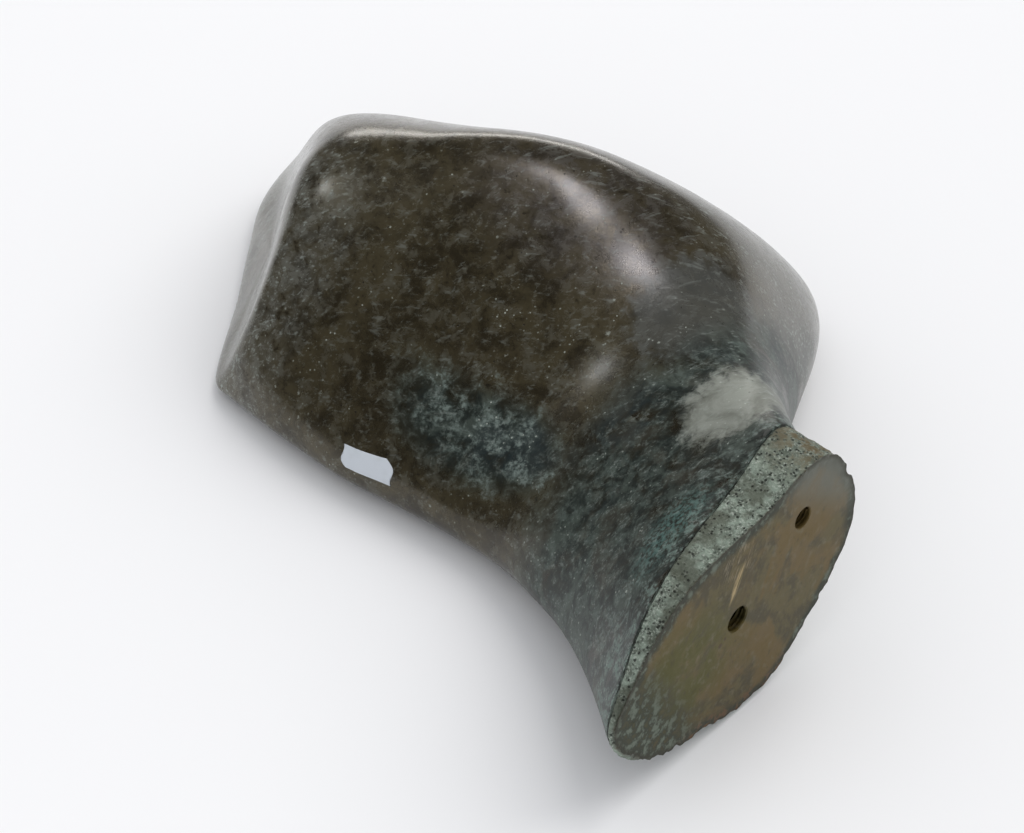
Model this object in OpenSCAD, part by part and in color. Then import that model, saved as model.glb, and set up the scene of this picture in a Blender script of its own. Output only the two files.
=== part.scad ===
// Horn of a large bolted deck cleat: a hollow bronze casting with a rounded, wedge-shaped head
// and a waisted neck, closed at the neck by a foot plate that is ground flat and tapped.
// Frame: +X points out of the ground foot face, +Z is up as the horn lies on a flat surface,
// and the origin is the centre of the main screw hole, at its mouth.

/* [Overall size] */
// Length from the foot face to the far rim of the head
horn_length = 337; // [310:1:380]
// Width of the head, across its flat underside
head_width = 190; // [170:1:215]
// Height of the crown over the underside
head_height = 98; // [92:1:115]

/* [Casting] */
// Thickness of the cast wall at the crown
wall = 7; // [5:0.5:9]
// Width of the chamfer round the mouth of the neck, which holds the braze
groove = 2; // [1:0.5:3]

/* [Foot plate] */
// Thickness of the wedge-shaped plate along the axis of the main screw hole
plate_thickness = 12; // [12:0.5:14]
// Slope of the joint between the plate and the neck, along the foot
joint_slope = 0.15; // [0.1:0.01:0.15]
// Depth of the boss behind the main screw hole
boss_depth = 14; // [12:1:20]
// Diameter of the boss behind the main screw hole
boss_diameter = 26; // [18:1:30]

/* [Screw holes] */
// Diameter of the main tapped hole
main_hole_diameter = 10.2; // [8.5:0.1:12]
// Depth of the main tapped hole
main_hole_depth = 20; // [12:1:22]
// Diameter of the second tapped hole
second_hole_diameter = 8.5; // [6.8:0.1:10.2]
// Depth of the second tapped hole
second_hole_depth = 13; // [8:1:13]
// Sideways distance from the main hole to the second hole
second_hole_side = 35; // [28:1:38]
// Height of the second hole over the main hole
second_hole_rise = 24; // [20:1:28]

/* [Price label] */
// Length of the blank paper label along the head
label_length = 26; // [16:1:30]
// Width of the label
label_width = 12; // [8:1:14]
// Thickness of the label and its glue
label_thickness = 0.3; // [0.2:0.1:0.6]

/* [Hidden] */

// The loft drawing is made at this size, and the driving dimensions stretch it
drawn_length = 337;
drawn_width = 190;
drawn_height = 98;
stretch = [horn_length / drawn_length, head_width / drawn_width, head_height / drawn_height];
// Height of the main screw hole over the surface the horn lies on, in the loft drawing
hole_height = 50;
// The long way of the foot runs up towards +Y at this angle
foot_tilt = 22;
foot_run = [0, cos(foot_tilt), sin(foot_tilt)];

// Each loft section is a closed cage of twelve points [y, height]. In order round the section:
// keel front, front rim, front wall, below edge, edge, low face, high face, crown, shoulder,
// back wall, heel, keel back.
foot_cage = [[-22, 8], [-50, 11], [-73, 42], [-62, 54], [-46, 79], [-16, 92],
    [16, 90], [46, 104], [64, 80], [71, 48], [46, 18], [16, -6]];
neck_cage = [[-12, 12], [-32, 14], [-45, 29], [-37, 46], [-24, 66], [4, 82],
    [36, 90], [58, 98], [70, 80], [66, 48], [44, 18], [14, 8]];
waist_cage = [[2, 7], [-14, 8], [-25, 21], [-21, 34], [-10, 52], [22, 71],
    [56, 82], [80, 82], [102, 60], [117, 32], [94, 8], [36, 5]];
throat_cage = [[24, 0], [-2, 2], [-10, 13], [-8, 23], [-1, 38], [42, 66],
    [86, 82], [114, 79], [146, 54], [188, 17], [178, 0], [88, 0]];
lobe_cage = [[36, 0], [3, 0], [-3, 8], [-3, 15], [2, 28], [54, 66],
    [102, 87], [128, 89], [160, 67], [199, 20], [190, 0], [108, 0]];
head_cage = [[38, 0], [1, 0], [-4, 8], [-4, 17], [3, 30], [58, 68],
    [106, 91], [128, 96], [152, 79], [190, 24], [181, 0], [107, 0]];
broad_cage = [[38, 0], [-4, 0], [-8, 9], [-6, 18], [4, 32], [56, 70],
    [101, 92], [121, 99], [145, 83], [188, 25], [179, 0], [106, 0]];
tail_cage = [[38, 0], [-3, 0], [-8, 10], [-4, 24], [9, 40], [50, 69],
    [88, 88], [108, 96], [134, 80], [182, 26], [172, 0], [102, 0]];
corner_cage = [[40, 0], [0, 0], [-2, 10], [7, 26], [23, 46], [48, 67],
    [75, 80], [94, 85], [125, 75], [168, 25], [158, 0], [98, 0]];

// A section stands at x, and its foot lies further out than its crown by lean
function section(x, lean, cage) =
    [for (p = cage) [x - lean * (1 - p[1] / drawn_height), p[0], p[1]]];

// The end of the head is one oblique flat face, from the front corner to the far rim
end_edge = [[-294, 38, 0], [-266, -6, 0], [-259, 2, 11], [-257, 15, 30], [-260, 31, 50],
    [-266, 48, 66], [-277, 67, 74], [-284, 86, 76], [-312, 116, 60], [-344, 138, 18],
    [-355, 116, 0], [-326, 78, 0]];
end_face_centre = [-284, 56, 28];
// A smaller ring inside the edge keeps the face flat
flat_share = 0.45;
end_face_ring = [for (p = end_edge) end_face_centre + flat_share * (p - end_face_centre)];

// Where the joint plane crosses each point of the foot outline
function joint_x(p) =
    -plate_thickness - joint_slope * ([0, p[0], p[1] - hole_height] * foot_run);
foot_ring = [for (p = foot_cage) [joint_x(p), p[0], p[1]]];

cage = [
    foot_ring,
    section(-32, 0, neck_cage),
    section(-62, 0, waist_cage),
    section(-92, 4, throat_cage),
    section(-118, 3, lobe_cage),
    section(-150, 0, head_cage),
    section(-185, 0, broad_cage),
    section(-218, 0, tail_cage),
    section(-248, 10, corner_cage),
    end_edge,
    end_face_ring,
    [for (p = end_edge) end_face_centre]
];
last_ring = len(cage) - 1;
columns = len(foot_cage);

// Uniform cubic B-spline: the weights of four neighbours at a place t from 0 to 1
function weights(t) =
    [(1 - t) ^ 3, 3 * t ^ 3 - 6 * t ^ 2 + 4, -3 * t ^ 3 + 3 * t ^ 2 + 3 * t + 1, t ^ 3] / 6;
function blend(four, t) = weights(t) * four;

// The cage beyond its two ends mirrors the ring before, so the skin meets both end rings
function cage_point(ring, column) =
    ring < 0 ? 2 * cage[0][column] - cage[1][column]
    : ring > last_ring ? 2 * cage[last_ring][column] - cage[last_ring - 1][column]
    : cage[ring][column];

// Section of the cage at any place u along the rings
function cage_section(u) =
    let (k = min(floor(u), last_ring - 1), t = u - k)
    [for (c = [0:columns - 1]) blend([for (i = [-1:2]) cage_point(k + i, c)], t)];

// Point of a closed section at any place v round its columns
function round_point(ring, v) =
    let (k = floor(v), t = v - k)
    blend([for (i = [-1:2]) ring[(k + i + columns) % columns]], t);

// A loft point in the frame: stretched, and measured from the main screw hole
function placed(p) =
    [p[0] * stretch[0], p[1] * stretch[1], (p[2] - hole_height) * stretch[2]];

// Middle of a section
function middle(ring) = [for (i = [0:2]) [for (p = ring) p[i]] * [for (p = ring) 1] / len(ring)];
// A section drawn in towards its middle
function shrunk(ring, share) = let (m = middle(ring)) [for (p = ring) m + share * (p - m)];

// The skin is measured out with this many points between two columns of the cage
steps = 5;
around = columns * steps;
function skin_row(u, share) =
    let (ring = shrunk(cage_section(u), share))
    [for (j = [0:around - 1]) placed(round_point(ring, j / steps))];

// Rough radius of the neck and of the head, which turn a thickness into a share
neck_radius = 50;
head_radius = 45;

// Rows of the outer skin, measured in rings: the chamfered lip first, then evenly to the end
lip_share = 1 - groove / neck_radius;
lip_row = 0.06;
rows_to_a_ring = 7;
outer_rows = concat(
    [0, lip_row],
    [for (i = [1:last_ring * rows_to_a_ring - 1]) i / rows_to_a_ring + 0.01]
);
// Rows of the core, which leaves the wall; it stops short of the end face
core_share = 1 - wall / head_radius;
core_end = 8;
core_rows = [for (i = [0:2 * core_end]) i / 2];

// Faces between row a and row b of a grid, seen from the side where a is nearer the foot
function band(a, b, flip) =
    [for (j = [0:around - 1])
        let (n = (j + 1) % around, p = a + j, q = a + n, r = b + n, s = b + j)
        each flip ? [[p, r, q], [p, s, r]] : [[p, q, r], [p, r, s]]];
function fan(row, centre, flip) =
    [for (j = [0:around - 1])
        let (n = (j + 1) % around)
        flip ? [row + j, centre, row + n] : [row + j, row + n, centre]];

module horn_casting() {
    outer = [for (u = outer_rows) each skin_row(u, u == 0 ? lip_share : 1)];
    core = [for (u = core_rows) each skin_row(u, core_share)];
    tip = placed(end_face_centre);
    core_tip = placed(middle(cage_section(core_end)));
    rows = len(outer_rows);
    core_start = rows * around;
    core_count = len(core_rows);
    tips = core_start + core_count * around;
    faces = concat(
        [for (i = [0:rows - 2]) each band(i * around, (i + 1) * around, true)],
        fan((rows - 1) * around, tips, true),
        [for (i = [0:core_count - 2]) each
            band(core_start + i * around, core_start + (i + 1) * around, false)],
        fan(core_start + (core_count - 1) * around, tips + 1, false),
        band(core_start, 0, true)
    );
    color([0.24, 0.23, 0.19])
        polyhedron(concat(outer, core, [tip, core_tip]), faces, convexity = 10);
}

// Outline of the ground foot face, with the plate's rim standing just proud of the lip
foot_outline = [for (p = skin_row(0, 1)) [p[1], p[2]]];

// Half-space of everything beyond the joint plane, on the foot's side
module joint_side() {
    reach = 400;
    lean_y = joint_slope * stretch[0] * foot_run[1] / stretch[1];
    lean_z = joint_slope * stretch[0] * foot_run[2] / stretch[2];
    translate([-plate_thickness * stretch[0], 0, 0])
        rotate([atan2(lean_z, lean_y), 0, 0])
        rotate([0, 0, atan(norm([lean_y, lean_z]))])
        translate([0, -reach / 2, -reach / 2])
        cube([reach, reach, reach]);
}

// How far a cutter or a boss runs past the surface it meets
overlap = 1;
module tapped_hole(diameter, depth) {
    translate([-depth, 0, 0])
        rotate([0, 90, 0])
        cylinder(d = diameter, h = depth + overlap, $fn = 48);
}

module foot_plate() {
    blank_depth = 60;
    back = plate_thickness + boss_depth;
    color([0.45, 0.41, 0.33])
    difference() {
        union() {
            intersection() {
                translate([-blank_depth, 0, 0])
                    rotate([90, 0, 90])
                    linear_extrude(height = blank_depth)
                    polygon(foot_outline);
                joint_side();
            }
            translate([-back, 0, 0])
                rotate([0, 90, 0])
                cylinder(d = boss_diameter, h = back - overlap, $fn = 48);
        }
        tapped_hole(main_hole_diameter, main_hole_depth);
        translate([0, second_hole_side, second_hole_rise])
            tapped_hole(second_hole_diameter, second_hole_depth);
    }
}

// Braze that fills the chamfer round the mouth of the neck, its edge just inside the rim
module seam_braze() {
    edge_share = 1 - 0.2 * groove / neck_radius;
    inner = skin_row(0, lip_share);
    edge = skin_row(0, edge_share);
    back = skin_row(lip_row, 1);
    faces = concat(
        band(0, around, true),
        band(around, 2 * around, true),
        band(2 * around, 0, true)
    );
    color([0.35, 0.42, 0.36])
        polyhedron(concat(inner, edge, back), faces, convexity = 10);
}

// The label lies on the edge of the head: its middle on the skin, as ring and column,
// and how many millimetres a ring and a column are there
label_ring = 5.73;
label_column = 2.97;
// It was stuck on askew, by this angle
label_turn = 14.5;
ring_run = 35 * stretch[0];
column_run = 17 * stretch[1];
label_cells = 8;

// A point of the skin, lifted off it by a small height
function lifted(u, v, height) =
    let (
        nudge = 0.05,
        here = placed(round_point(cage_section(u), v)),
        along = placed(round_point(cage_section(u + nudge), v)) - here,
        across = placed(round_point(cage_section(u), v + nudge)) - here,
        normal = cross(along, across)
    )
    here + height * normal / norm(normal);

module price_label() {
    side = label_cells + 1;
    sheet = side * side;
    glue_gap = 0.02;
    points = [
        for (height = [label_thickness, glue_gap], i = [0:label_cells], j = [0:label_cells])
        let (
            s = (i / label_cells - 0.5) * label_length,
            t = (j / label_cells - 0.5) * label_width
        )
        lifted(
            label_ring + (s * cos(label_turn) + t * sin(label_turn)) / ring_run,
            label_column + (t * cos(label_turn) - s * sin(label_turn)) / column_run,
            height
        )
    ];
    function quad(p, q, r, s) = [[p, q, r], [p, r, s]];
    faces = concat(
        [for (i = [0:label_cells - 1], j = [0:label_cells - 1])
            let (p = i * side + j) each quad(p, p + 1, p + side + 1, p + side)],
        [for (i = [0:label_cells - 1], j = [0:label_cells - 1])
            let (p = sheet + i * side + j) each quad(p, p + side, p + side + 1, p + 1)],
        [for (i = [0:label_cells - 1], end = [0, label_cells])
            let (p = i * side + end, q = p + side)
            each end == 0 ? quad(p, q, q + sheet, p + sheet) : quad(q, p, p + sheet, q + sheet)],
        [for (j = [0:label_cells - 1], end = [0, label_cells * side])
            let (p = end + j, q = p + 1)
            each end == 0 ? quad(q, p, p + sheet, q + sheet) : quad(p, q, q + sheet, p + sheet)]
    );
    color([0.86, 0.88, 0.9])
        polyhedron(points, faces, convexity = 4);
}

horn_casting();
foot_plate();
seam_braze();
price_label();
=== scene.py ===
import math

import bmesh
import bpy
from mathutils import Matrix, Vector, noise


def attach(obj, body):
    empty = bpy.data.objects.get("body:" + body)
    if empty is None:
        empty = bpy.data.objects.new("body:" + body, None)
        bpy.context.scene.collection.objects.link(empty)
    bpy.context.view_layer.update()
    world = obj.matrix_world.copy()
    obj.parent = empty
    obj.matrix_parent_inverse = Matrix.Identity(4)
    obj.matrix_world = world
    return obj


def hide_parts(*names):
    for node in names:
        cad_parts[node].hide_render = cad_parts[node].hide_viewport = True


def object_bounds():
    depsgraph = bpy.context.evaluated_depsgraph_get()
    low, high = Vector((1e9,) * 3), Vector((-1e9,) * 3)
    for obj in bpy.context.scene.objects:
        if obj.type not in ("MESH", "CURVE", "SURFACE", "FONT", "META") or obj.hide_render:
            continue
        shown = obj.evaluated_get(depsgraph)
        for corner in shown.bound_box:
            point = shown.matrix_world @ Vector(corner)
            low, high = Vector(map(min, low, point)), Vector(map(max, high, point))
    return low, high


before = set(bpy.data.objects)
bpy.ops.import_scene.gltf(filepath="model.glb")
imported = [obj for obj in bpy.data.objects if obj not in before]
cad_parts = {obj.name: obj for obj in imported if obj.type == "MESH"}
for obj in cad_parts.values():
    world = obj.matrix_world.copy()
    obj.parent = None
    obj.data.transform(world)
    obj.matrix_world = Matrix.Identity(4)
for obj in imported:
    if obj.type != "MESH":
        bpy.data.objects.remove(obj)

# %% [markdown]
# A bronze cleat horn lies on a pale table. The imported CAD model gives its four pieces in
# metres, with the origin at the mouth of the main screw hole and +X out of the ground foot.
# The CAD pieces have the right shape but plain facets, so every one of them gets a finer
# piece here that keeps to the same box. The first job is to remember how large that box is.

MM = 0.001
cad_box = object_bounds()
floor_z = cad_box[0][2]
print("CAD box in mm:", [[round(v / MM, 1) for v in corner] for corner in cad_box])

# %% [markdown]
# The view is that of a person standing at the table: 42 degrees down and 41 degrees round
# from the +Y direction. A long lens keeps the head and the foot in true proportion. The
# camera could be aimed with a constraint, but two angles and a distance say more, and
# nothing has to be evaluated before the render.

# %% Camera
view_turn = math.radians(41.4)
view_drop = math.radians(42.0)
view_distance = 1300 * MM
aim_left = 79 * MM
aim_up = 71 * MM
field_width = 358.4 * MM

right = Vector((math.cos(view_turn), math.sin(view_turn), 0))
forward = Vector((
    -math.sin(view_turn) * math.cos(view_drop),
    math.cos(view_turn) * math.cos(view_drop),
    -math.sin(view_drop),
))
up = right.cross(forward)
camera_data = bpy.data.cameras.new("table_view")
camera_data.sensor_width = 36
camera_data.lens = camera_data.sensor_width * view_distance / field_width
camera_data.dof.use_dof = False
camera = bpy.data.objects.new("table_view", camera_data)
camera.location = up * aim_up - right * aim_left - forward * view_distance
camera.rotation_mode = "QUATERNION"
camera.rotation_quaternion = forward.to_track_quat("-Z", "Y")
bpy.context.scene.collection.objects.link(camera)
bpy.context.scene.camera = camera
print("lens in mm:", round(camera_data.lens, 1))

# %% [markdown]
# Materials are built from a handful of nodes over and over: noise, a smooth step, a mix of
# two colours. A small helper keeps each recipe short enough to read as a list of layers.
# Every pattern reads Object coordinates, so it stays fixed in the metal when the object
# moves, and sizes are given in millimetres.

# %% Helper for layered materials
class Layers:
    """A material whose patterns are measured in millimetres on the object."""

    def __init__(self, name):
        self.material = bpy.data.materials.new(name)
        self.material.use_nodes = True
        self.tree = self.material.node_tree
        self.shader = self.tree.nodes["Principled BSDF"]
        coordinates = self.tree.nodes.new("ShaderNodeTexCoord")
        self.place = self.node("ShaderNodeVectorMath", "SCALE", {0: coordinates.outputs["Object"]})
        self.place.node.inputs["Scale"].default_value = 1 / MM

    def node(self, kind, operation=None, inputs=None, output=0):
        new = self.tree.nodes.new(kind)
        if operation:
            new.operation = operation
        for key, value in (inputs or {}).items():
            self.feed(new.inputs[key], value)
        return new.outputs[output]

    def feed(self, socket, value):
        if isinstance(value, bpy.types.NodeSocket):
            self.tree.links.new(value, socket)
        else:
            socket.default_value = value

    def math(self, operation, a, b=0.0):
        return self.node("ShaderNodeMath", operation, {0: a, 1: b})

    def stretched(self, scale, turn=(0, 0, 0)):
        """The place seen from turned axes, with patterns made longer along each by scale."""
        mapping = self.tree.nodes.new("ShaderNodeMapping")
        mapping.vector_type = "TEXTURE"
        self.feed(mapping.inputs["Vector"], self.place)
        mapping.inputs["Rotation"].default_value = [math.radians(a) for a in turn]
        mapping.inputs["Scale"].default_value = scale
        return mapping.outputs["Vector"]

    def noise(self, size, detail=4.0, rough=0.55, place=None, twist=0.0):
        """Noise from 0 to 1 whose lumps are about size millimetres across."""
        new = self.tree.nodes.new("ShaderNodeTexNoise")
        self.feed(new.inputs["Vector"], place or self.place)
        new.inputs["Scale"].default_value = 1 / size
        new.inputs["Detail"].default_value = detail
        new.inputs["Roughness"].default_value = rough
        new.inputs["Distortion"].default_value = twist
        return new.outputs["Fac"]

    def cells(self, size, feature="F1", random=1.0, place=None):
        new = self.tree.nodes.new("ShaderNodeTexVoronoi")
        new.feature = feature
        self.feed(new.inputs["Vector"], place or self.place)
        new.inputs["Scale"].default_value = 1 / size
        new.inputs["Randomness"].default_value = random
        return new

    def step(self, value, low, high, out_low=0.0, out_high=1.0):
        """Smooth step: out_low where value is at low, out_high where it is at high."""
        new = self.tree.nodes.new("ShaderNodeMapRange")
        new.interpolation_type = "SMOOTHSTEP"
        self.feed(new.inputs["Value"], value)
        for key, number in zip(("From Min", "From Max", "To Min", "To Max"),
                               (low, high, out_low, out_high)):
            new.inputs[key].default_value = number
        return new.outputs["Result"]

    def along(self, direction, low, high):
        """0 to 1 as the place goes from low to high millimetres along a direction."""
        how_far = self.node("ShaderNodeVectorMath", "DOT_PRODUCT",
                            {0: self.place, 1: direction}, "Value")
        return self.step(how_far, low, high)

    def near(self, centre, inner, outer, squeeze=(1, 1, 1), place=None):
        """1 within inner millimetres of a centre, falling to 0 at outer."""
        offset = self.node("ShaderNodeVectorMath", "SUBTRACT", {0: place or self.place, 1: centre})
        shaped = self.node("ShaderNodeVectorMath", "MULTIPLY", {0: offset, 1: squeeze})
        length = self.node("ShaderNodeVectorMath", "LENGTH", {0: shaped}, "Value")
        return self.step(length, inner, outer, 1.0, 0.0)

    def attribute(self, name):
        new = self.tree.nodes.new("ShaderNodeAttribute")
        new.attribute_name = name
        return new.outputs["Fac"]

    def colour(self, share, a, b):
        new = self.tree.nodes.new("ShaderNodeMix")
        new.data_type = "RGBA"
        self.feed(new.inputs["Factor"], share)
        for key, value in (("A", a), ("B", b)):
            socket = [s for s in new.inputs if s.name == key and s.type == "RGBA"][0]
            self.feed(socket, value if isinstance(value, bpy.types.NodeSocket) else (*value, 1))
        return [s for s in new.outputs if s.type == "RGBA"][0]

    def number(self, share, a, b):
        new = self.tree.nodes.new("ShaderNodeMix")
        self.feed(new.inputs["Factor"], share)
        self.feed(new.inputs["A"], a)
        self.feed(new.inputs["B"], b)
        return new.outputs["Result"]

    def relief(self, height, depth):
        """Bump whose full height is depth millimetres."""
        new = self.tree.nodes.new("ShaderNodeBump")
        new.inputs["Distance"].default_value = depth * MM
        self.feed(new.inputs["Height"], height)
        self.tree.links.new(new.outputs["Normal"], self.shader.inputs["Normal"])


# %% [markdown]
# Old bronze is not one colour. A dark brown oxide covers the head; grey-green verdigris
# grows where water lay, in the neck and low on the face; pale scuffs and specks show where
# things rubbed or splashed. Real patina is applied in the same order, so the material is a
# stack too: brown first, then green in two strengths, then scratches and specks on top.
# The brown oxide shines softly like wax, while verdigris is powdery, so roughness follows
# the same masks.

# %% Material: patinated bronze of the casting
def patinated_bronze():
    m = Layers("patinated_bronze")
    broad = m.noise(55, 3, 0.5)
    cloudy = m.noise(17, 7, 0.66, twist=0.5)
    patchy = m.noise(6.0, 8, 0.70, twist=0.35)
    fine = m.noise(1.7, 5, 0.65)
    grit = m.noise(0.6, 3, 0.6)

    def times(*factors):
        product = factors[0]
        for factor in factors[1:]:
            product = m.math("MULTIPLY", product, factor)
        return product

    def ragged(mask, amount, low, high):
        """A mask whose soft edge is broken up by the patchy noise."""
        noisy = m.math("ADD", mask, times(m.math("SUBTRACT", patchy, 0.5), amount))
        return m.step(noisy, low, high)

    brown = m.colour(m.step(cloudy, 0.36, 0.62), (0.026, 0.020, 0.008), (0.066, 0.054, 0.027))
    brown = m.colour(m.step(patchy, 0.48, 0.66, 0.0, 0.8), brown, (0.094, 0.088, 0.062))
    brown = m.colour(m.step(patchy, 0.44, 0.30, 0.0, 0.8), brown, (0.017, 0.013, 0.006))
    back_edge = m.along((0.15, 1, 0), 92, 140)
    brown = m.colour(times(back_edge, m.step(patchy, 0.3, 0.6, 0.3, 0.8)), brown,
                     (0.078, 0.076, 0.056))
    # Painted highlight: a violet-grey tint on the crown stands in for the soft reflection of the
    # ceiling lamp.
    painted_sheen = times(m.near((-158, 104, 41), 12, 44, (0.6, 1, 1)), m.step(patchy, 0.3, 0.6))
    brown = m.colour(times(painted_sheen, 0.4), brown, (0.080, 0.073, 0.074))
    grey = ragged(m.near((-95, 92, 32), 10, 40, (1, 0.85, 1)), 1.3, 0.30, 0.80)
    brown = m.colour(times(grey, 0.62), brown, (0.105, 0.112, 0.105))

    neck = m.along((1, -0.15, 0), -132, -62)
    cluster = m.near((-142, 20, -8), 2, 46, (0.55, 1.3, 1.1))
    band = m.near((-262, 30, -20), 30, 70, (1.6, 0.8, 0.8))
    where = m.math("MAXIMUM", neck, times(cluster, 0.9))
    where = m.step(m.math("ADD", where, times(m.math("SUBTRACT", broad, 0.5), 1.1)), 0.20, 0.80)
    teal = times(where, m.step(cloudy, 0.26, 0.54))
    deep = m.colour(m.step(patchy, 0.40, 0.60), (0.009, 0.018, 0.017), (0.038, 0.056, 0.049))
    deep = m.colour(m.step(cloudy, 0.50, 0.62, 0.0, 0.7), deep, (0.070, 0.094, 0.080))
    deep = m.colour(m.step(broad, 0.52, 0.62, 0.0, 0.6), deep, (0.016, 0.030, 0.036))
    base = m.colour(times(teal, 0.88), brown, deep)
    stained = m.step(m.noise(23, 4, 0.6), 0.52, 0.66)
    base = m.colour(times(stained, neck, 0.55), base, (0.058, 0.052, 0.036))

    beside_rim = m.along((1, 0, 0), -58, -14)
    drifting = m.math("ADD", cluster, times(m.math("SUBTRACT", cloudy, 0.5), 2.8))
    thick = m.math("MAXIMUM", ragged(drifting, 1.2, 0.42, 1.10), beside_rim)
    thick = m.math("MAXIMUM", thick, times(where, 0.32))
    bloom = times(thick, m.step(patchy, 0.44, 0.62), m.step(fine, 0.36, 0.60))
    base = m.colour(times(bloom, 0.8), base, (0.175, 0.220, 0.198))
    streak = times(m.near((-27, -6, 31), 4, 22, (1.6, 0.75, 0.75)), m.step(fine, 0.40, 0.60))
    base = m.colour(times(streak, 0.6), base, (0.120, 0.240, 0.215))
    # Partly real dust and scuffs on the far left end and the band below it, partly a painted reflection
    # of the white table on that steep face.
    dust_and_sheen = times(m.math("MAXIMUM", m.along((-1, -0.2, 0), 262, 292), times(band, 0.6)),
                 m.step(patchy, 0.32, 0.62))
    base = m.colour(times(dust_and_sheen, 0.75), base, (0.215, 0.220, 0.195))
    # Painted reflection: a pale grey-green patch in the hollow between head and neck stands in for the
    # white table reflected there.
    painted_reflection = ragged(m.near((-49, 56, 36), 6, 32, (0.9, 0.8, 1)), 1.6, 0.30, 0.85)
    reflection_tone = m.colour(m.step(cloudy, 0.35, 0.62), (0.165, 0.175, 0.145), (0.300, 0.315, 0.275))
    base = m.colour(times(painted_reflection, 0.82), base, reflection_tone)
    crust = times(m.along((1, 0, 0), -30, -14), m.step(patchy, 0.46, 0.58), m.step(fine, 0.42, 0.56))
    base = m.colour(times(crust, 0.55), base, (0.15, 0.225, 0.190))

    rubs = m.noise(1.5, 2, 0.6, m.stretched((10, 1, 1.2), (0, 8, 28)))
    rubs_across = m.noise(1.3, 2, 0.6, m.stretched((1, 11, 1.2), (0, -10, -24)))
    worn = m.math("ADD", times(m.attribute("worn"), 0.7), times(dust_and_sheen, 0.9))
    worn = m.math("ADD", m.math("ADD", worn, times(back_edge, 0.5)), times(neck, 0.12))
    worn = m.math("ADD", worn, 0.22)
    scratch = m.math("MAXIMUM", m.step(rubs, 0.59, 0.67), m.step(rubs_across, 0.60, 0.68))
    scratch = times(scratch, worn, m.step(patchy, 0.40, 0.58))
    base = m.colour(times(scratch, 0.8), base, (0.34, 0.38, 0.35))

    specks = 0.0
    for size, share, reach in ((1.8, 0.78, 0.24), (4.0, 0.86, 0.17), (9, 0.90, 0.13)):
        dots = m.cells(size)
        chosen = m.node("ShaderNodeSeparateColor", None, {0: dots.outputs["Color"]})
        size_noise = times(m.math("SUBTRACT", grit, 0.5), reach * 2.0)
        dot = times(m.step(chosen, share, share + 0.03),
                    m.step(m.math("ADD", dots.outputs["Distance"], size_noise),
                           reach * 0.5, reach, 1.0, 0.0))
        specks = m.math("MAXIMUM", dot, specks)
    specks = times(specks, m.step(cloudy, 0.46, 0.62, 0.04, 1.0), m.step(patchy, 0.36, 0.50))
    splash = times(m.near((-168, 63, 21), 2, 13, (1, 1, 0.5)), m.step(fine, 0.62, 0.68),
                   m.step(patchy, 0.45, 0.55))
    specks = m.math("MAXIMUM", specks, splash)
    base = m.colour(times(specks, 0.75), base, (0.42, 0.46, 0.41))
    pits = m.cells(3.1)
    chosen = m.node("ShaderNodeSeparateColor", None, {0: pits.outputs["Color"]}, 2)
    pit = times(m.step(chosen, 0.80, 0.84), m.step(pits.outputs["Distance"], 0.08, 0.17, 1.0, 0.0))
    base = m.colour(times(pit, 0.7), base, (0.010, 0.008, 0.005))

    powder = m.math("MAXIMUM", times(teal, 0.5), m.math("MAXIMUM", bloom, crust))
    powder = m.math("MAXIMUM", powder, m.math("MAXIMUM", times(scratch, 0.5), specks))
    powder = m.math("MAXIMUM", powder, times(painted_reflection, 0.7))
    rough = m.number(powder, m.step(patchy, 0.3, 0.7, 0.18, 0.33), 0.60)
    m.feed(m.shader.inputs["Base Color"], base)
    m.feed(m.shader.inputs["Roughness"], rough)
    m.feed(m.shader.inputs["Metallic"], m.number(powder, 0.40, 0.08))
    m.feed(m.shader.inputs["Coat Weight"], m.number(m.math("MAXIMUM", powder, where), 0.5, 0.06))
    m.shader.inputs["Coat Roughness"].default_value = 0.18
    m.shader.inputs["Specular IOR Level"].default_value = 0.35
    relief = m.math("ADD", times(patchy, 0.35), times(fine, 0.12))
    relief = m.math("ADD", relief, times(grit, powder, 0.10))
    relief = m.math("SUBTRACT", relief, times(pit, 0.25))
    m.relief(m.math("ADD", relief, times(specks, 0.10)), 0.30)
    return m.material


bronze = patinated_bronze()
print("material:", bronze.name, len(bronze.node_tree.nodes), "nodes")

# %% [markdown]
# The rim of the foot plate and the braze were never dressed after casting. They kept the
# grain of the sand mould, and salt water turned the grain pale green with black pits. The
# ground face is the same metal, cut flat and then tarnished: brown-gold in the middle,
# grey-green where damp crept in from the edge, with a few bright scratches and rust spots.

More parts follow.
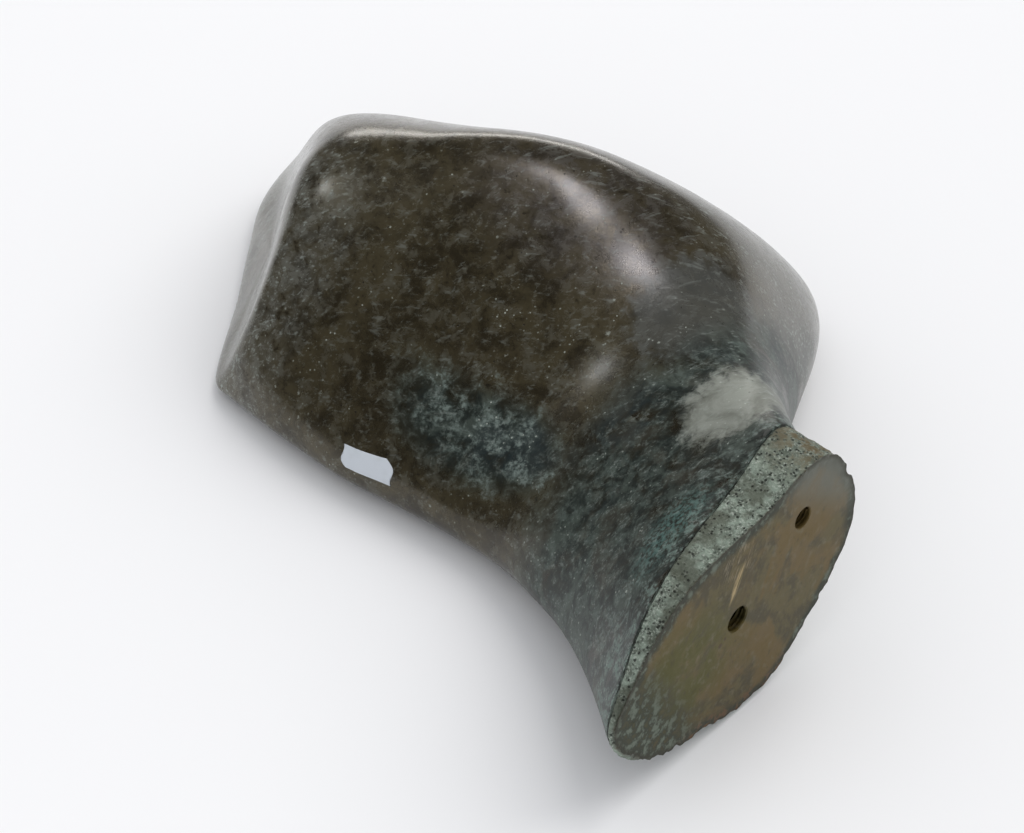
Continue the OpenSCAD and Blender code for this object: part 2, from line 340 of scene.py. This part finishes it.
# %% Materials: as-cast rim and ground face
def as_cast_rim():
    m = Layers("as_cast_rim")
    broad = m.noise(19, 4, 0.6)
    lumps = m.noise(4.0, 7, 0.68)
    grain = m.noise(0.9, 4, 0.65)
    pits = m.cells(1.5)
    base = m.colour(m.step(lumps, 0.36, 0.62), (0.100, 0.120, 0.094), (0.250, 0.305, 0.250))
    base = m.colour(m.step(grain, 0.50, 0.66, 0.0, 0.85), base, (0.400, 0.445, 0.385))
    base = m.colour(m.step(broad, 0.50, 0.62, 0.0, 0.75), base, (0.070, 0.076, 0.052))
    ochre = m.near((-6, 52, 42), 8, 30, (1, 1, 1))
    base = m.colour(m.math("MULTIPLY", ochre, m.step(lumps, 0.40, 0.60)), base,
                    (0.120, 0.095, 0.050))
    pit = m.math("MULTIPLY", m.step(pits.outputs["Distance"], 0.22, 0.40, 1.0, 0.0),
                 m.step(lumps, 0.56, 0.42))
    base = m.colour(m.math("MULTIPLY", pit, 0.85), base, (0.012, 0.014, 0.010))
    edge = m.along((1, 0, 0), -1.4, -0.3)
    base = m.colour(m.math("MULTIPLY", edge, m.step(lumps, 0.42, 0.56, 0.2, 0.9)), base,
                    (0.055, 0.042, 0.024))
    m.feed(m.shader.inputs["Base Color"], base)
    m.shader.inputs["Roughness"].default_value = 0.78
    m.shader.inputs["Metallic"].default_value = 0.1
    relief = m.math("ADD", m.math("MULTIPLY", lumps, 0.7), m.math("MULTIPLY", grain, 0.35))
    m.relief(m.math("SUBTRACT", relief, m.math("MULTIPLY", pit, 0.5)), 0.8)
    return m.material


def ground_face():
    m = Layers("ground_face")
    broad = m.noise(30, 4, 0.6, twist=0.6)
    cloudy = m.noise(11, 7, 0.68, twist=0.3)
    patchy = m.noise(4.2, 6, 0.66)
    fine = m.noise(1.1, 4, 0.65)
    base = m.colour(m.step(cloudy, 0.40, 0.58), (0.050, 0.040, 0.011), (0.112, 0.091, 0.036))
    base = m.colour(m.step(broad, 0.46, 0.58, 0.0, 0.75), base, (0.135, 0.088, 0.022))
    olive = m.near((0, -32, -6), 12, 40, (1, 0.9, 1.1))
    base = m.colour(m.math("MULTIPLY", olive, m.step(cloudy, 0.36, 0.54, 0.2, 0.9)), base,
                    (0.074, 0.072, 0.010))
    base = m.colour(m.step(patchy, 0.52, 0.68, 0.0, 0.5), base, (0.160, 0.142, 0.090))
    base = m.colour(m.step(patchy, 0.44, 0.32, 0.0, 0.5), base, (0.045, 0.036, 0.016))

    broken = m.math("MULTIPLY", m.math("SUBTRACT", cloudy, 0.5), 1.1)
    damp = m.step(m.math("ADD", m.attribute("rim_nearness"), broken), 0.34, 0.80)
    low_end = m.along((0, -1, -0.6), 34, 56)
    top_end = m.along((0, 0.8, 1), 52, 72)
    damp = m.math("MAXIMUM", damp, m.math("MULTIPLY", low_end, m.step(patchy, 0.28, 0.50)))
    base = m.colour(m.math("MULTIPLY", damp, 0.9), base, (0.030, 0.038, 0.027))
    speckle = m.math("MULTIPLY", damp, m.step(patchy, 0.48, 0.60))
    base = m.colour(m.math("MULTIPLY", speckle, 0.65), base, (0.170, 0.205, 0.160))
    base = m.colour(m.math("MULTIPLY", top_end, m.step(cloudy, 0.3, 0.6, 0.4, 0.85)), base,
                    (0.135, 0.142, 0.118))

    burr = m.math("MULTIPLY", m.step(m.attribute("rim_nearness"), 0.72, 0.95),
                  m.step(patchy, 0.40, 0.52))
    base = m.colour(m.math("MULTIPLY", burr, 0.7), base, (0.030, 0.024, 0.012))

    rust_edge = m.math("MULTIPLY", m.attribute("rim_nearness"), m.near((0, 2, -42), 8, 30, (1, 0.6, 1)))
    rust = m.math("MULTIPLY", m.step(rust_edge, 0.25, 0.6), m.step(patchy, 0.48, 0.58))
    base = m.colour(m.math("MULTIPLY", rust, 0.75), base, (0.130, 0.055, 0.016))
    for place, size in (((0, -9.3, -6.2), 1.6), ((0, -6.8, -4.6), 1.1)):
        spot = m.near(place, size * 0.4, size)
        base = m.colour(m.math("MULTIPLY", spot, 0.75), base, (0.060, 0.034, 0.014))

    cut = m.noise(0.7, 2, 0.5, m.stretched((1, 20, 0.7), (22, 0, 0)))
    leaning = m.stretched((1, 1, 1), (-24, 0, 0))
    scored = m.noise(0.8, 2, 0.5, m.stretched((1, 0.8, 9), (-24, 0, 0)))
    mark = m.math("MULTIPLY", m.step(scored, 0.56, 0.64), m.near((0, -1, 29), 4, 12, (1, 1, 1)))
    mark = m.math("MULTIPLY", mark, m.step(patchy, 0.38, 0.52))
    gash = m.math("MULTIPLY", m.near((0, -8.9, 16), 3, 11, (1, 5, 1), leaning),
                  m.step(scored, 0.38, 0.54, 0.1, 1.0))
    base = m.colour(m.math("MULTIPLY", mark, 0.6), base, (0.36, 0.30, 0.21))
    base = m.colour(m.math("MULTIPLY", gash, 0.8), base, (0.44, 0.33, 0.15))
    m.feed(m.shader.inputs["Base Color"], base)
    m.feed(m.shader.inputs["Metallic"], m.number(damp, 0.55, 0.15))
    rough = m.number(damp, m.step(cloudy, 0.3, 0.7, 0.42, 0.56), 0.7)
    m.feed(m.shader.inputs["Roughness"], m.number(gash, rough, 0.35))
    relief = m.math("ADD", m.math("MULTIPLY", cut, 0.25), m.math("MULTIPLY", fine, 0.3))
    m.relief(m.math("ADD", relief, m.math("MULTIPLY", patchy, 0.6)), 0.14)
    return m.material


rim_metal = as_cast_rim()
face_metal = ground_face()
print("materials:", rim_metal.name, face_metal.name)

# %% [markdown]
# A carried-over CAD mesh is a loose heap of triangles. Merging the doubled points and
# joining pairs of triangles into four-sided faces turns it back into a clean skin that a
# Subdivision Surface can round. The same few lines serve the casting and the braze.

# %% Helpers: a clean copy of a CAD piece, and a new object
def new_piece(name, bm, materials, smooth=True):
    mesh = bpy.data.meshes.new(name)
    bm.to_mesh(mesh)
    bm.free()
    for material in materials:
        mesh.materials.append(material)
    mesh.polygons.foreach_set("use_smooth", [smooth] * len(mesh.polygons))
    piece = bpy.data.objects.new(name, mesh)
    bpy.context.scene.collection.objects.link(piece)
    return piece


def merged_copy(node):
    bm = bmesh.new()
    bm.from_mesh(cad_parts[node].data)
    bmesh.ops.remove_doubles(bm, verts=bm.verts, dist=0.002 * MM)
    return bm


# %% [markdown]
# The casting: a sand-cast shell is never perfectly fair. The pattern maker's gouge and
# the finisher's grinder leave a soft unevenness, a few tenths of a millimetre over a few
# centimetres, which shows as a waver in every reflection. Sculpting could add it, but a
# noise that only ever takes metal away keeps the piece inside its CAD box. The braze needs
# the lip of the neck as it is, so the waver fades out there, and on the flat underside.

# %% Casting
def ramp(value, low, high):
    """Smooth rise from 0 at low to 1 at high."""
    share = min(max((value - low) / (high - low), 0.0), 1.0)
    return share * share * (3 - 2 * share)


def unevenness(place, lumps):
    """Metal missing at a place: for each (size, depth) in mm, noise from 0 to depth."""
    missing = 0.0
    for size, depth in lumps:
        missing += depth * min(max(0.5 + noise.noise(place / (size * MM)), 0.0), 1.0)
    return missing * MM


def sharpness(vert):
    """How convex a mesh is at a point: the mean fold of its edges, in radians."""
    folds = [e.calc_face_angle_signed(0.0) for e in vert.link_edges]
    return max(sum(folds) / max(len(folds), 1), 0.0)


casting_mesh = merged_copy("horn_casting")
bmesh.ops.join_triangles(
    casting_mesh, faces=casting_mesh.faces,
    angle_face_threshold=math.radians(60), angle_shape_threshold=math.radians(60),
)
print("faces with four sides:", sum(len(f.verts) == 4 for f in casting_mesh.faces),
      "and three:", sum(len(f.verts) == 3 for f in casting_mesh.faces))
worn = casting_mesh.verts.layers.float.new("worn")
for vert in casting_mesh.verts:
    vert[worn] = ramp(sharpness(vert), 0.05, 0.22)
for vert in casting_mesh.verts:
    around = [e.other_vert(vert)[worn] for e in vert.link_edges]
    vert[worn] = 0.5 * vert[worn] + 0.5 * sum(around) / len(around)
casting_mesh.normal_update()
moves = []
for vert in casting_mesh.verts:
    keep = ramp(-vert.co.x, 20 * MM, 60 * MM) * ramp(vert.co.z - floor_z, 0.5 * MM, 6 * MM)
    moves.append(vert.normal * -keep * unevenness(vert.co, ((42, 0.8), (15, 0.22))))
for vert, move in zip(casting_mesh.verts, moves):
    vert.co += move
casting = new_piece("bronze_casting", casting_mesh, [bronze])
rounder = casting.modifiers.new("rounder", "SUBSURF")
rounder.levels = rounder.render_levels = 2
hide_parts("horn_casting")
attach(casting, "root")
print("deepest hollow in mm:", round(max(m.length for m in moves) / MM, 2))

# %% [markdown]
# The foot plate is one plate with a flat face, two blind holes, a boss behind the larger
# hole and a rough rim. It is grown ring by ring: a ring of points is extruded, and each new
# point is put where the next ring wants it. Cutting the plate out with booleans would be
# shorter, but every cut leaves slivers that a rough rim would tear. The outline comes from
# the CAD face, so the plate still fits the neck; it is shared out again in even steps of
# 0.7 mm, fine enough to carry the grain of the sand.

# %% Foot plate: outline of the ground face
def walked(edges, start):
    """Points of a closed ring of edges, in order."""
    left = set(edges)
    ring = [start]
    while True:
        edge = next((e for e in ring[-1].link_edges if e in left), None)
        if edge is None:
            return [v.co.copy() for v in ring[:-1]]
        left.remove(edge)
        ring.append(edge.other_vert(ring[-1]))


def evenly(points, spacing):
    """The same closed ring with points at even distances."""
    ends = points[1:] + points[:1]
    lengths = [(b - a).length for a, b in zip(points, ends)]
    count = round(sum(lengths) / spacing)
    result = []
    side, passed = 0, 0.0
    for k in range(count):
        goal = sum(lengths) * k / count
        while passed + lengths[side] < goal:
            passed += lengths[side]
            side += 1
        result.append(points[side].lerp(ends[side], (goal - passed) / lengths[side]))
    return result


plate_cad = merged_copy("foot_plate")
front = {f for f in plate_cad.faces if all(v.co.x > -0.01 * MM for v in f.verts)}
border = [e for e in plate_cad.edges if len(front.intersection(e.link_faces)) == 1]
start = max((v for e in border for v in e.verts), key=lambda v: v.co.length)
outline = evenly(walked(border, start), 0.7 * MM)
plate_cad.free()
if sum(a.y * b.z - a.z * b.y for a, b in zip(outline, outline[1:] + outline[:1])) < 0:
    outline.reverse()
count = len(outline)
outward = []
for k in range(count):
    run = outline[(k + 4) % count] - outline[k - 4]
    outward.append(Vector((0, run.z, -run.y)).normalized())
print("points round the face:", count)

# %% [markdown]
# The joint between plate and neck leans: the plate is a wedge, 12 mm thick at the main
# hole and thinner towards the lower end. Rows go back from the ragged edge of the face to
# that joint, and each row is pulled in a little by three sizes of noise. The edge itself
# is ground thin and chipped, so the first two rows lose the most.

# %% Foot plate: grown ring by ring
plate_thickness = 12 * MM
joint_slope = 0.15
foot_tilt = math.radians(22)
boss_depth = 14 * MM
boss_radius = 13 * MM
sand_grain = ((7, 0.9), (2.4, 0.7), (1.2, 0.45))
chips = ((8, 1.9), (3.4, 1.2), (1.6, 0.5))
notch_place = Vector((0, 61 * MM, 29 * MM))


def joint_at(point):
    along_foot = point.y * math.cos(foot_tilt) + point.z * math.sin(foot_tilt)
    return -plate_thickness - joint_slope * along_foot


def chipped(k):
    """How far the edge of the face is broken in: most along the lower side, and one notch."""
    broken = 0.2 + 0.8 * ramp(-outline[k].z, 0.0, 25 * MM)
    notch = 1.6 * MM * ramp(5 * MM - (outline[k] - notch_place).length, 0.0, 4 * MM)
    return unevenness(outline[k], chips) * broken + notch


def edge_place(k, inward):
    """A point of the ragged face edge, or of a ring further in."""
    return outline[k] - outward[k] * (inward + chipped(k) * ramp(9 * MM - inward, 0.0, 9 * MM))


def rim_place(k, share):
    """A point of the rough rim, at a share of the way back to the joint."""
    point = outline[k].copy()
    point.x = joint_at(point) * share
    grain = unevenness(point, sand_grain) * (1 - 0.5 * share)
    return point - outward[k] * (grain + 0.8 * chipped(k) * ramp(1 - share, 0.2, 1.0))


def circle_place(k, steps, centre, radius, depth):
    turn = math.tau * k / steps
    return Vector((-depth, centre[0] + radius * math.cos(turn), centre[1] + radius * math.sin(turn)))


plate = bmesh.new()
number = plate.verts.layers.int.new("number")
rim_nearness = plate.verts.layers.float.new("rim_nearness")


def first_ring(steps, where):
    verts = bmesh.ops.create_circle(plate, segments=steps, radius=1)["verts"]
    for k, vert in enumerate(verts):
        vert[number] = k
        vert.co = where(k)
    return list({e for v in verts for e in v.link_edges})


def grow(edges, where, nearness=1.0):
    """Extrude a ring of edges by one row and place the new points."""
    geometry = bmesh.ops.extrude_edge_only(plate, edges=edges)["geom"]
    for vert in (g for g in geometry if isinstance(g, bmesh.types.BMVert)):
        vert.co = where(vert[number])
        vert[rim_nearness] = nearness
    return [g for g in geometry if isinstance(g, bmesh.types.BMEdge) and len(g.link_faces) == 1]


edge_ring = first_ring(count, lambda k: edge_place(k, 0.3 * MM))
for vert in plate.verts:
    vert[rim_nearness] = 1.0
inner_ring = edge_ring
for inward in (1.5, 3.5, 6, 9, 12):
    inner_ring = grow(inner_ring, lambda k: edge_place(k, inward * MM), 1 - inward / 12)

hole_steps = 64
main_hole = ((0, 5.6), (0.5, 5.1), (1.3, 5.1), (1.3, 6.1), (18.5, 6.1), (18.5, 5.1), (20, 5.0))
second_hole = ((0, 4.6), (0.4, 4.25), (1.2, 4.25), (1.2, 5.1), (11.5, 5.1), (11.5, 4.25), (13, 4.1))
mouths = []
for profile, centre in ((main_hole, (0, 0)), (second_hole, (35 * MM, 24 * MM))):
    wall = first_ring(hole_steps, lambda k: circle_place(
        k, hole_steps, centre, profile[0][1] * MM, 0))
    mouths += wall
    for depth, radius in profile[1:]:
        wall = grow(wall, lambda k: circle_place(
            k, hole_steps, centre, radius * MM, depth * MM), 0.0)
    bmesh.ops.contextual_create(plate, geom=wall)
face_fill = bmesh.ops.triangle_fill(plate, use_beauty=True, edges=inner_ring + mouths)
print("triangles inside the face:", sum(isinstance(g, bmesh.types.BMFace) for g in face_fill["geom"]))

rim_ring = edge_ring
rim_rows = 22
for row in range(1, rim_rows + 1):
    rim_ring = grow(rim_ring, lambda k: rim_place(k, (row / rim_rows) ** 1.15))
boss_ring = first_ring(hole_steps, lambda k: circle_place(k, hole_steps, (0, 0), boss_radius, 0))
for vert in {v for e in boss_ring for v in e.verts}:
    vert.co.x = joint_at(vert.co)
bmesh.ops.triangle_fill(plate, use_beauty=True, edges=rim_ring + boss_ring)
boss_end = grow(boss_ring, lambda k: circle_place(
    k, hole_steps, (0, 0), boss_radius, plate_thickness + boss_depth))
bmesh.ops.contextual_create(plate, geom=boss_end)
bmesh.ops.recalc_face_normals(plate, faces=plate.faces)
print("open edges:", sum(len(e.link_faces) != 2 for e in plate.edges))

for face in plate.faces:
    middle = face.calc_center_median()
    face.material_index = 0 if middle.x > -0.02 * MM or middle.yz.length < 30 * MM else 1
    near_second = (middle.yz - Vector((35 * MM, 24 * MM))).length < 8 * MM
    if near_second:
        face.material_index = 0
for edge in plate.edges:
    flat_side = any(f.material_index == 0 for f in edge.link_faces)
    edge.smooth = not (flat_side and edge.calc_face_angle(0.0) > math.radians(25))
foot = new_piece("tapped_foot_plate", plate, [face_metal, rim_metal])
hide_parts("foot_plate")
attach(foot, "root")

# %% [markdown]
# A tap cuts one groove that winds down the hole. Seen from the mouth, what shows is the
# ridge left between the turns. Spinning a small four-sided profile round the axis while it
# moves along, a pitch at a time, makes that ridge: an M12 thread climbs 1.75 mm a turn and
# an M10 thread 1.5 mm. A stack of rings would be easier and would never let a screw in.

# %% Threads in the two holes
def ridge(name, centre, crest, root, pitch, top, turns):
    bm = bmesh.new()
    profile = ((root, 0.0), (crest, 0.42), (crest, 0.56), (root, 0.98))
    verts = [bm.verts.new((-(top + share * pitch) * MM, centre[0] + radius * MM, centre[1]))
             for radius, share in profile]
    start_face = bm.faces.new(verts)
    steps = 40 * turns
    spun = bmesh.ops.spin(
        bm, geom=[start_face], cent=(0, *centre), axis=(-1, 0, 0), angle=math.tau * turns,
        dvec=(-turns * pitch * MM / steps, 0, 0), steps=steps, use_merge=False,
    )
    bmesh.ops.recalc_face_normals(bm, faces=bm.faces)
    for edge in bm.edges:
        edge.smooth = edge.calc_face_angle(0.0) < math.radians(30)
    thread = new_piece(name, bm, [face_metal])
    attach(thread, "root")
    print(name, "faces:", len(thread.data.polygons), "turns:", turns)


ridge("main_thread", (0, 0), crest=5.1, root=6.15, pitch=1.75, top=1.35, turns=8)
ridge("second_thread", (35 * MM, 24 * MM), crest=4.25, root=5.15, pitch=1.5, top=1.25, turns=6)

# %% [markdown]
# The horn and its plate were joined with a bead of braze run into the groove round the
# neck. Most of it has sunk and blackened, which draws the dark line between the smooth
# neck and the rough rim. The bead keeps its CAD section and gains lumps of a millimetre or
# two, as a hand-fed rod leaves; a bevelled ring would look machined.

# %% Braze bead
def sunken_braze():
    m = Layers("sunken_braze")
    lumps = m.noise(3.2, 5, 0.6)
    base = m.colour(m.step(lumps, 0.42, 0.68), (0.018, 0.021, 0.016), (0.095, 0.125, 0.10))
    m.feed(m.shader.inputs["Base Color"], base)
    m.shader.inputs["Roughness"].default_value = 0.72
    m.shader.inputs["Metallic"].default_value = 0.2
    m.relief(lumps, 0.5)
    return m.material


bead = merged_copy("seam_braze")
bmesh.ops.subdivide_edges(bead, edges=bead.edges, cuts=3, use_grid_fill=True)
bead.normal_update()
moves = [v.normal * -unevenness(v.co, ((2.4, 0.35), (6, 0.25))) for v in bead.verts]
for vert, move in zip(bead.verts, moves):
    vert.co += move
braze = new_piece("braze_bead", bead, [sunken_braze()])
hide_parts("seam_braze")
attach(braze, "root")
print("bead faces:", len(braze.data.polygons))

# %% [markdown]
# The price label is a paper sticker from a hand-held labeller. Its ends are cut in a wave,
# and it is so soft that it follows the bend in the metal. The flat CAD patch is divided
# finely, its ends are drawn in along the wave, and then every point is laid on the nearest
# place of the finished skin, a paper's thickness off. It is left blank.

# %% Price label
from mathutils.bvhtree import BVHTree


def label_paper():
    m = Layers("label_paper")
    fibre = m.noise(0.8, 4, 0.6)
    smudge = m.noise(7, 3, 0.5)
    base = m.colour(m.step(smudge, 0.45, 0.75, 0.0, 0.5), (0.60, 0.64, 0.69), (0.50, 0.54, 0.57))
    m.feed(m.shader.inputs["Base Color"], base)
    m.shader.inputs["Roughness"].default_value = 0.62
    m.relief(fibre, 0.03)
    return m.material


paper = merged_copy("price_label")
half_length, half_width = 13 * MM, 6 * MM
middle = sum((v.co for v in paper.verts), Vector()) / len(paper.verts)
lengthwise = Vector((0.966, 0.157, 0.195)).normalized()
sideways = Vector((-0.246, 0.437, 0.866)).normalized()
skin = BVHTree.FromObject(casting, bpy.context.evaluated_depsgraph_get())
bmesh.ops.subdivide_edges(paper, edges=paper.edges, cuts=3, use_grid_fill=True)
paper.normal_update()
laid = []
for vert in paper.verts:
    place, normal, _, _ = skin.find_nearest(vert.co)
    laid.append(0.24 if vert.normal.dot(normal) > 0 else 0.04)
for vert, over in zip(paper.verts, laid):
    end = (vert.co - middle).dot(lengthwise) / half_length
    side = (vert.co - middle).dot(sideways) / half_width
    notch = 0.5 - 0.5 * math.cos(math.pi * side)
    cut = notch * (3.2 + 1.8 * side * math.copysign(1, end))
    vert.co -= lengthwise * math.copysign(ramp(abs(end), 0.3, 1.0) * cut * MM, end)
    place, normal, _, _ = skin.find_nearest(vert.co)
    vert.co = place + normal * over * MM
bmesh.ops.recalc_face_normals(paper, faces=paper.faces)
print("label points:", len(paper.verts))
label = new_piece("blank_price_label", paper, [label_paper()])
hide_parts("price_label")
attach(label, "root")

# %% [markdown]
# The table is lit as in a plain studio: one broad, low sun from behind on the right throws
# the soft shadow towards the front, and a pale sky fills it. Polished metal shows what it
# faces, so the room above must look dark to reflections while the table stays white; that
# contrast is what separates the dark top of the head from its pale side. The world does it
# with the Light Path node: pale for the camera, dim for reflections, soft for the rest.

# %% Light
def room(camera_colour, fill, mirror_low, mirror_high):
    world = bpy.data.worlds.new("studio")
    world.use_nodes = True
    tree = world.node_tree
    tree.nodes.clear()
    path = tree.nodes.new("ShaderNodeLightPath")
    where = tree.nodes.new("ShaderNodeTexCoord")
    parts = tree.nodes.new("ShaderNodeSeparateXYZ")
    height = tree.nodes.new("ShaderNodeMapRange")
    height.inputs["From Min"].default_value = 0.0
    height.inputs["From Max"].default_value = 0.45
    mirror = tree.nodes.new("ShaderNodeMix")
    mirror.data_type = "RGBA"
    mirror.inputs[6].default_value = (*mirror_low, 1)
    mirror.inputs[7].default_value = (*mirror_high, 1)
    seen = tree.nodes.new("ShaderNodeMix")
    seen.data_type = "RGBA"
    seen.inputs[6].default_value = (*fill, 1)
    by_camera = tree.nodes.new("ShaderNodeMix")
    by_camera.data_type = "RGBA"
    by_camera.inputs[7].default_value = (*camera_colour, 1)
    background = tree.nodes.new("ShaderNodeBackground")
    output = tree.nodes.new("ShaderNodeOutputWorld")
    for start, end in (
        (where.outputs["Generated"], parts.inputs[0]),
        (parts.outputs["Z"], height.inputs["Value"]),
        (height.outputs["Result"], mirror.inputs[0]),
        (path.outputs["Is Glossy Ray"], seen.inputs[0]),
        (mirror.outputs[2], seen.inputs[7]),
        (path.outputs["Is Camera Ray"], by_camera.inputs[0]),
        (seen.outputs[2], by_camera.inputs[6]),
        (by_camera.outputs[2], background.inputs["Color"]),
        (background.outputs[0], output.inputs["Surface"]),
    ):
        tree.links.new(start, end)
    bpy.context.scene.world = world


def sun(name, towards, strength, spread, colour):
    data = bpy.data.lights.new(name, "SUN")
    data.energy = strength
    data.angle = math.radians(spread)
    data.color = colour
    lamp = bpy.data.objects.new(name, data)
    lamp.rotation_mode = "QUATERNION"
    lamp.rotation_quaternion = Vector(towards).to_track_quat("Z", "Y")
    lamp.visible_glossy = False
    bpy.context.scene.collection.objects.link(lamp)


def softbox(name, place, aim, size, watts, colour):
    data = bpy.data.lights.new(name, "AREA")
    data.shape = "RECTANGLE"
    data.size, data.size_y = size
    data.energy = watts
    data.color = colour
    lamp = bpy.data.objects.new(name, data)
    lamp.location = place
    lamp.rotation_mode = "QUATERNION"
    lamp.rotation_quaternion = (Vector(place) - Vector(aim)).to_track_quat("Z", "Y")
    lamp.visible_diffuse = False
    bpy.context.scene.collection.objects.link(lamp)


room((0.86, 0.865, 0.87), (0.78, 0.79, 0.81), (0.15, 0.145, 0.14), (0.075, 0.07, 0.072))
sun("window", (0.12, 0.66, 0.80), 1.45, 55, (1.0, 0.985, 0.96))
softbox("back_strip", (-1.15, 1.15, 0.26), (-0.20, 0.10, 0.03), (0.9, 0.16), 2.6, (1.0, 0.98, 0.95))
softbox("ceiling_lamp", (-0.56, 0.17, 1.10), (-0.15, 0.10, 0.04), (0.16, 0.06), 1.1, (0.97, 0.94, 1.0))
softbox("side_lamp", (-0.98, -0.08, 0.75), (-0.26, 0.06, 0.02), (0.10, 0.10), 0.4, (0.95, 0.98, 1.0))
bpy.context.scene.view_settings.view_transform = "Standard"

# %% [markdown]
# The floor is one large plain sheet just under the piece, painted a pale grey with almost
# no gloss, as the paper roll in a studio is. It only has to catch the soft shadow.

# %% Floor
floor_mesh = bmesh.new()
bmesh.ops.create_grid(floor_mesh, x_segments=1, y_segments=1, size=6)
bmesh.ops.translate(floor_mesh, verts=floor_mesh.verts, vec=(0, 0, floor_z))
paint = bpy.data.materials.new("pale_table")
paint.use_nodes = True
paint.node_tree.nodes["Principled BSDF"].inputs["Base Color"].default_value = (0.86, 0.86, 0.87, 1)
paint.node_tree.nodes["Principled BSDF"].inputs["Roughness"].default_value = 0.6
floor = new_piece("table", floor_mesh, [paint], smooth=False)
